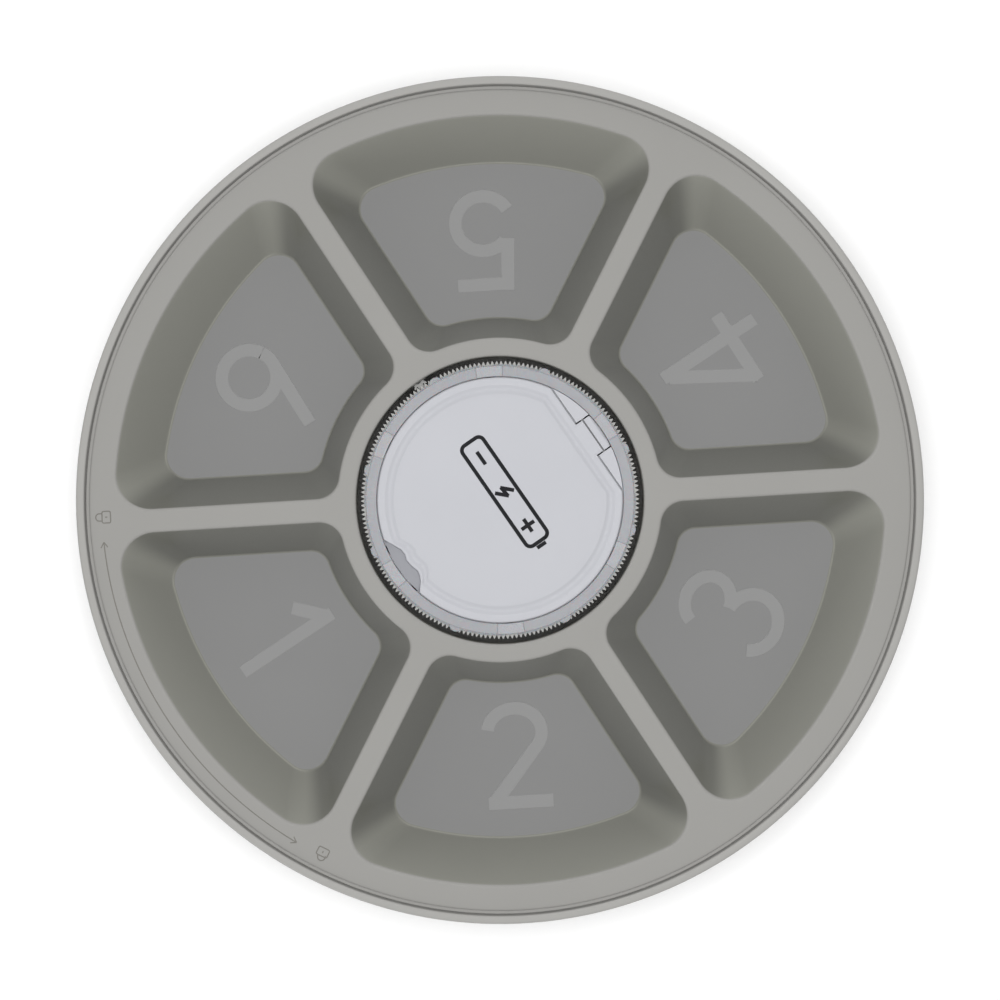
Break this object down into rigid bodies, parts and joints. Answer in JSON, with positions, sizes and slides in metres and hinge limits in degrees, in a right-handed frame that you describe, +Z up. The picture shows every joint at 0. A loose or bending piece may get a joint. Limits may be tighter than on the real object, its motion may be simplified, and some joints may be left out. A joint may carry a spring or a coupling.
{
  "type": "automatic pet feeder",
  "caption": "Round automatic pet feeder with a rotating tray of food bowls, toothed drive ring and central battery hub, shown without its lid.",
  "frame": {"origin": "centre of the plane of the rubber feet, under the middle of the feeder", "axes": "+Z up along the tray's axis of rotation; -Y towards the control panel"},
  "size_m": [0.32, 0.32, 0.066],
  "materials": {
    "casing_plastic": "fine moulded texture",
    "tray_plastic": "satin moulded",
    "white_plastic": "polished white",
    "frosted_plastic": "frosted white",
    "gear_plastic": "moulded acetal",
    "dark_plastic": "black moulded",
    "window_plastic": "clear smoked",
    "button_plastic": "satin",
    "foot_rubber": "matt",
    "steel": "bright zinc",
    "bronze": "sintered",
    "magnet": "nickel plated",
    "board_laminate": "solder mask",
    "cell_sleeve": "printed sleeve"
  },
  "bodies": {
    "base": {"base_shell": "casing_plastic", "bottom_cover": "casing_plastic", "rubber_feet": "foot_rubber", "cover_screws": "steel", "shaft_bushes": "bronze", "idler_pin": "steel", "motor": "steel", "motor_screws": "steel", "hub_housing": "white_plastic", "hub_screws": "steel", "gear_retainer": "frosted_plastic", "lid_hinge_pin": "steel", "battery_cells": "cell_sleeve", "battery_contacts": "steel", "battery_springs": "steel", "main_board": "board_laminate", "board_components": "dark_plastic", "board_screws": "steel", "position_sensor": "board_laminate", "speaker": "dark_plastic", "power_socket": "dark_plastic", "panel_frame": "casing_plastic", "lcd_window": "window_plastic", "lcd_module": "dark_plastic", "control_board": "board_laminate", "tact_switches": "dark_plastic", "control_screws": "steel", "panel_back_cover": "casing_plastic", "panel_ribbon": "dark_plastic"},
    "ring": {"drive_ring": "gear_plastic", "index_magnets": "magnet"},
    "tray": {"food_tray": "tray_plastic"},
    "pinion_shaft": {"drive_shaft": "steel", "drive_pinion": "gear_plastic", "output_gear": "gear_plastic"},
    "idler": {"idler_gear": "gear_plastic"},
    "rotor": {"motor_shaft": "steel", "motor_pinion": "bronze"},
    "lid": {"battery_lid": "white_plastic"},
    "clock_button": {"button_clock": "button_plastic"},
    "down_button": {"button_down": "button_plastic"},
    "up_button": {"button_up": "button_plastic"},
    "record_button": {"button_record": "button_plastic"}
  },
  "joints": [
    {"name": "ring_spin", "type": "hinge", "parent": "base", "child": "ring", "pos_m": [0, 0, 0.05], "axis": [0, 0, 1], "continuous": true},
    {"name": "tray_lift", "type": "slide", "parent": "ring", "child": "tray", "axis": [0, 0, 1], "range_m": [0, 0.14]},
    {"name": "shaft_spin", "type": "hinge", "parent": "base", "child": "pinion_shaft", "pos_m": [-0.05562, 0, 0.03], "axis": [0, 0, 1], "continuous": true},
    {"name": "idler_spin", "type": "hinge", "parent": "base", "child": "idler", "pos_m": [-0.04362, 0, 0.01], "axis": [0, 0, 1], "continuous": true},
    {"name": "rotor_spin", "type": "hinge", "parent": "base", "child": "rotor", "pos_m": [-0.03112, 0, 0.015], "axis": [0, 0, 1], "continuous": true},
    {"name": "lid_hinge", "type": "hinge", "parent": "base", "child": "lid", "pos_m": [0, 0.043, 0.0604], "axis": [-1, 0, 0], "range_deg": [0, 95]},
    {"name": "clock_press", "type": "slide", "parent": "base", "child": "clock_button", "axis": [0, 1, 0], "range_m": [0, 0.0005], "stiffness_N_per_m": 2000, "springref_m": -0.0005},
    {"name": "down_press", "type": "slide", "parent": "base", "child": "down_button", "axis": [0, 1, 0], "range_m": [0, 0.0005], "stiffness_N_per_m": 2000, "springref_m": -0.0005},
    {"name": "up_press", "type": "slide", "parent": "base", "child": "up_button", "axis": [0, 1, 0], "range_m": [0, 0.0005], "stiffness_N_per_m": 2000, "springref_m": -0.0005},
    {"name": "record_press", "type": "slide", "parent": "base", "child": "record_button", "axis": [0, 1, 0], "range_m": [0, 0.0005], "stiffness_N_per_m": 2000, "springref_m": -0.0005}
  ],
  "couplings": [
    {"joint": "shaft_spin", "follows": "ring_spin", "ratio": -16.167},
    {"joint": "idler_spin", "follows": "ring_spin", "ratio": 48.5},
    {"joint": "rotor_spin", "follows": "ring_spin", "ratio": -194}
  ]
}
